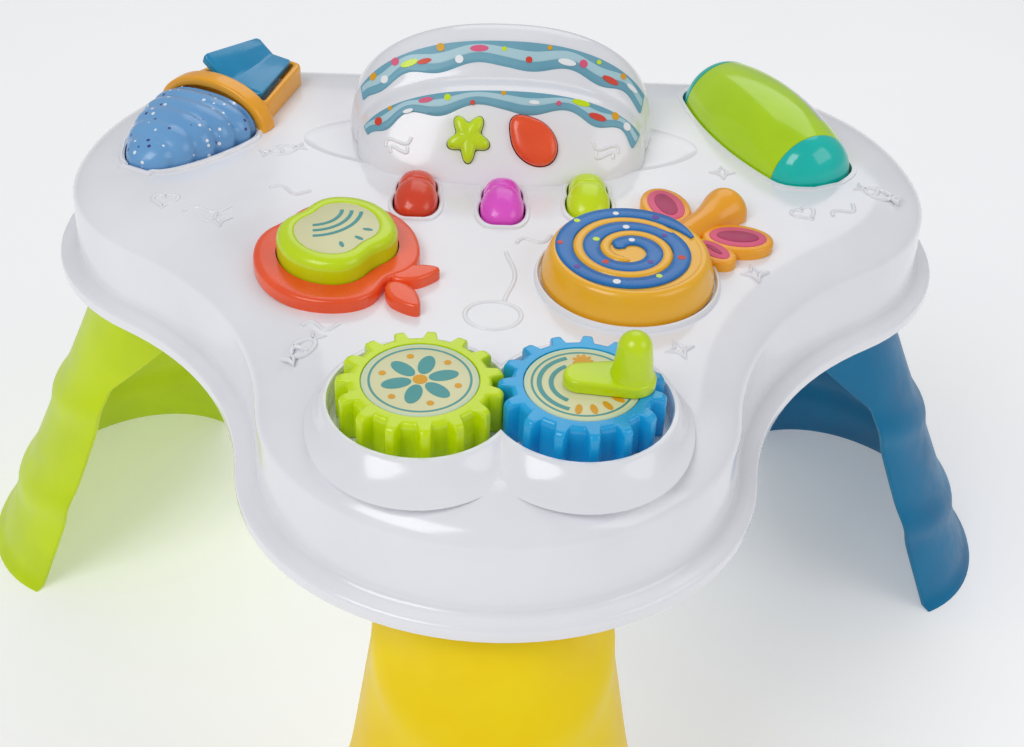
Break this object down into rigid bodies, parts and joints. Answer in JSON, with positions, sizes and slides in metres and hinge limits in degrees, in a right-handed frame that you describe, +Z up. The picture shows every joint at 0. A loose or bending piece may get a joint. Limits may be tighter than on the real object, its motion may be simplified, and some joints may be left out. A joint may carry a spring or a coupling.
{
  "type": "musical activity table",
  "caption": "Lobed musical activity table on splayed channel legs, with piano keys, push buttons, meshing gears, a turning disc, a roller drum and a rocker.",
  "frame": {"origin": "centre of the footprint, on the floor", "axes": "+X to the player's right, +Y away from the player towards the hood, +Z up"},
  "size_m": [0.56, 0.479, 0.3116],
  "materials": {
    "white": "glossy moulded",
    "print": "printed band",
    "lime": "glossy moulded",
    "blue": "glossy moulded",
    "sky_blue": "glossy moulded",
    "teal": "glossy moulded",
    "orange": "glossy moulded",
    "red": "glossy moulded",
    "pink": "glossy moulded",
    "leg_green": "glossy moulded",
    "leg_yellow": "glossy moulded",
    "leg_blue": "glossy moulded",
    "label": "satin printed label",
    "clear": "clear strip",
    "board": "circuit board",
    "rubber": "matte",
    "black": "matte moulded",
    "cell": "metal can",
    "steel": "zinc plated"
  },
  "bodies": {
    "table": {"top_shell": "white", "bottom_cover": "white", "hood_shell": "white", "hood_rear_band": "print", "hood_front_band": "print", "hood_board": "board", "lollipop_stick": "orange", "apple_base": "red", "apple_pad": "rubber", "cone_frame": "orange", "scoop_pad": "rubber", "key_bracket": "white", "key_pad": "rubber", "main_board": "board", "speaker_basket": "black", "speaker_cone": "rubber", "battery_1": "cell", "battery_2": "cell", "battery_3": "cell", "battery_contact_left": "steel", "battery_contact_right": "steel", "switch_body": "black", "cover_screw_1": "steel", "cover_screw_2": "steel", "cover_screw_3": "steel", "cover_screw_4": "steel", "cover_screw_5": "steel", "leg_front": "leg_yellow", "leg_right": "leg_blue", "leg_left": "leg_green"},
    "left_gear": {"gear_left": "lime", "gear_left_label": "label", "gear_left_washer": "white", "gear_left_screw": "steel"},
    "right_gear": {"gear_right": "blue", "gear_right_label": "label", "gear_right_washer": "white", "gear_right_screw": "steel", "crank_arm": "lime"},
    "lollipop": {"lollipop_disc": "orange", "lollipop_spiral": "blue", "lollipop_washer": "white", "lollipop_screw": "steel"},
    "drum": {"drum_shell": "lime", "drum_window": "clear", "drum_cap_near": "teal", "drum_cap_far": "teal"},
    "red_key": {"key_red": "red"},
    "pink_key": {"key_pink": "pink"},
    "green_key": {"key_green": "lime"},
    "star": {"star_button": "lime"},
    "balloon": {"balloon_button": "red"},
    "apple": {"apple_button": "lime", "apple_label": "label"},
    "scoop": {"scoop_button": "sky_blue"},
    "seesaw": {"rocker": "blue"},
    "switch": {"switch_knob": "black"},
    "door": {"battery_door": "white", "battery_door_screw": "steel"}
  },
  "joints": [
    {"name": "right_gear_spin", "type": "hinge", "parent": "table", "child": "right_gear", "pos_m": [0.02855, -0.07953, 0.261], "axis": [0, 0, 1], "continuous": true},
    {"name": "left_gear_spin", "type": "hinge", "parent": "table", "child": "left_gear", "pos_m": [-0.02855, -0.07953, 0.261], "axis": [0, 0, 1], "continuous": true},
    {"name": "lollipop_spin", "type": "hinge", "parent": "table", "child": "lollipop", "pos_m": [0.051, 0.00917, 0.261], "axis": [0, 0, 1], "continuous": true},
    {"name": "drum_spin", "type": "hinge", "parent": "table", "child": "drum", "pos_m": [0.1245, 0.13717, 0.2585], "axis": [0.3987, -0.9171, 0], "continuous": true},
    {"name": "red_key_press", "type": "hinge", "parent": "table", "child": "red_key", "pos_m": [-0.0368, 0.07817, 0.2536], "axis": [1, 0, 0], "range_deg": [0, 7], "stiffness_Nm_per_rad": 0.05, "springref_deg": -3.44},
    {"name": "pink_key_press", "type": "hinge", "parent": "table", "child": "pink_key", "pos_m": [0.0004, 0.07357, 0.2536], "axis": [1, 0, 0], "range_deg": [0, 7], "stiffness_Nm_per_rad": 0.05, "springref_deg": -3.44},
    {"name": "green_key_press", "type": "hinge", "parent": "table", "child": "green_key", "pos_m": [0.0378, 0.07957, 0.2536], "axis": [1, 0, 0], "range_deg": [0, 7], "stiffness_Nm_per_rad": 0.05, "springref_deg": -3.44},
    {"name": "star_press", "type": "slide", "parent": "table", "child": "star", "axis": [0, 0.7859, -0.6184], "range_m": [0, 0.0018], "stiffness_N_per_m": 400, "springref_m": -0.001},
    {"name": "balloon_press", "type": "slide", "parent": "table", "child": "balloon", "axis": [0, 0.7859, -0.6184], "range_m": [0, 0.0018], "stiffness_N_per_m": 400, "springref_m": -0.001},
    {"name": "apple_press", "type": "slide", "parent": "table", "child": "apple", "axis": [0, 0, -1], "range_m": [0, 0.004], "stiffness_N_per_m": 500, "springref_m": -0.001},
    {"name": "scoop_press", "type": "slide", "parent": "table", "child": "scoop", "axis": [0, 0, -1], "range_m": [0, 0.003], "stiffness_N_per_m": 1000, "springref_m": -0.001},
    {"name": "seesaw_tilt", "type": "hinge", "parent": "table", "child": "seesaw", "pos_m": [-0.1335, 0.13817, 0.269], "axis": [-0.454, -0.891, 0], "range_deg": [0, 44]},
    {"name": "switch_slide", "type": "slide", "parent": "table", "child": "switch", "axis": [1, 0, 0], "range_m": [0, 0.006]},
    {"name": "door_swing", "type": "hinge", "parent": "table", "child": "door", "pos_m": [0, 0.15757, 0.215], "axis": [1, 0, 0], "range_deg": [0, 90]}
  ],
  "couplings": [
    {"joint": "left_gear_spin", "follows": "right_gear_spin", "ratio": -1}
  ]
}
